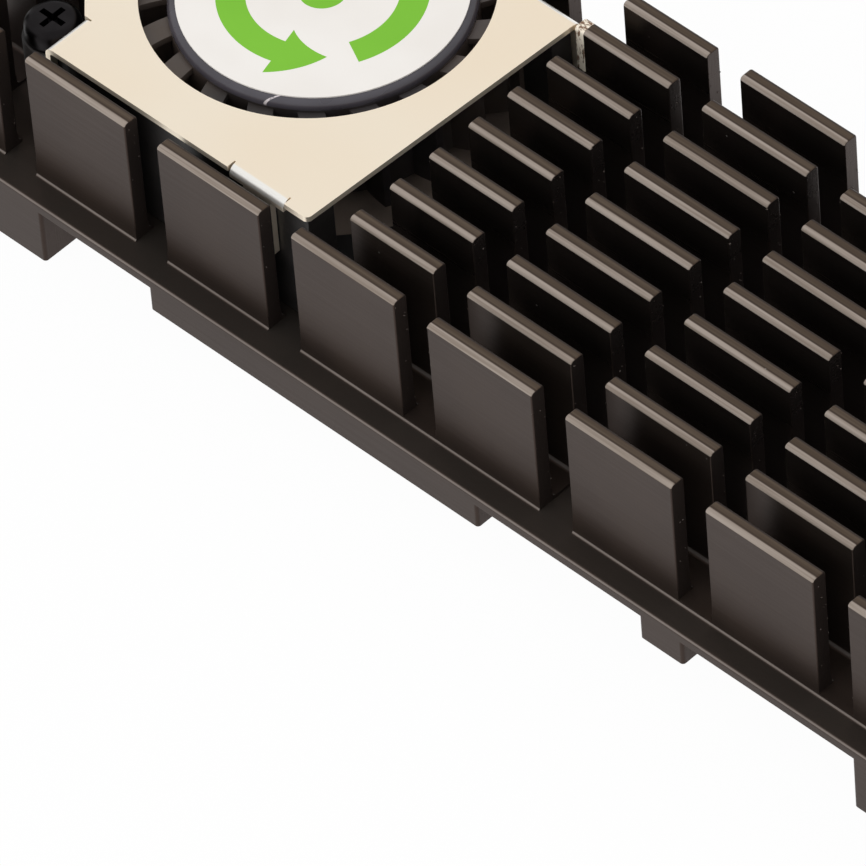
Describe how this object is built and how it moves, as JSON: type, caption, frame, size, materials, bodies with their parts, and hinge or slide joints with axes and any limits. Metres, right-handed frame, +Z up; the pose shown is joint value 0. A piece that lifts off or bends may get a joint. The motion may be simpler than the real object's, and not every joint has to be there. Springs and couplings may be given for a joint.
{
  "type": "heat sink with blower",
  "caption": "Long black anodised pin-fin heat sink with a flat radial blower let into one end, which blows along the fins",
  "frame": {"origin": "middle of the base's length and width, at the level under the feet", "axes": "+Z up from the board towards the fin tips, +X along the rows of fins away from the blower, +Y across the rows away from the side with the two pads"},
  "size_m": [0.1244, 0.04, 0.0188],
  "materials": {
    "black_anodised": "black anodised extrusion, satin",
    "champagne_sheet": "champagne anodised sheet, satin",
    "black_moulding": "moulded, lightly textured",
    "glossy_black": "moulded, semi-gloss",
    "label_film": null,
    "black_steel": "blackened",
    "pressed_steel": "drawn, plated",
    "ground_steel": "ground",
    "magnet_rubber": "moulded ferrite rubber",
    "white_nylon": "moulded",
    "sintered_bronze": "sintered, oiled",
    "core_laminations": "stamped sheets",
    "enamelled_wire": "enamelled copper wire",
    "board_laminate": "solder mask",
    "chip_resin": "moulded",
    "capacitor_tan": "fired"
  },
  "bodies": {
    "sink": {"heat_sink": "black_anodised", "fan_cover": "champagne_sheet", "fan_frame": "black_moulding", "long_fan_screw": "black_steel", "short_fan_screw": "black_steel", "bearing_cap": "black_moulding", "thrust_washer": "white_nylon", "bearing_sleeve": "sintered_bronze", "oil_seal": "white_nylon", "stator_core": "core_laminations", "upper_insulator": "white_nylon", "lower_insulator": "white_nylon", "coil_1": "enamelled_wire", "coil_2": "enamelled_wire", "coil_3": "enamelled_wire", "coil_4": "enamelled_wire", "fan_board": "board_laminate", "drive_chip": "chip_resin", "filter_capacitor": "capacitor_tan"},
    "rotor": {"impeller": "glossy_black", "hub_label": "label_film", "rotor_yoke": "pressed_steel", "rotor_magnet": "magnet_rubber", "rotor_shaft": "ground_steel", "retaining_clip": "white_nylon"}
  },
  "joints": [
    {"name": "fan_spin", "type": "hinge", "parent": "sink", "child": "rotor", "pos_m": [-0.036, 0.00255, 0.0125], "axis": [0, 0, 1], "continuous": true}
  ]
}
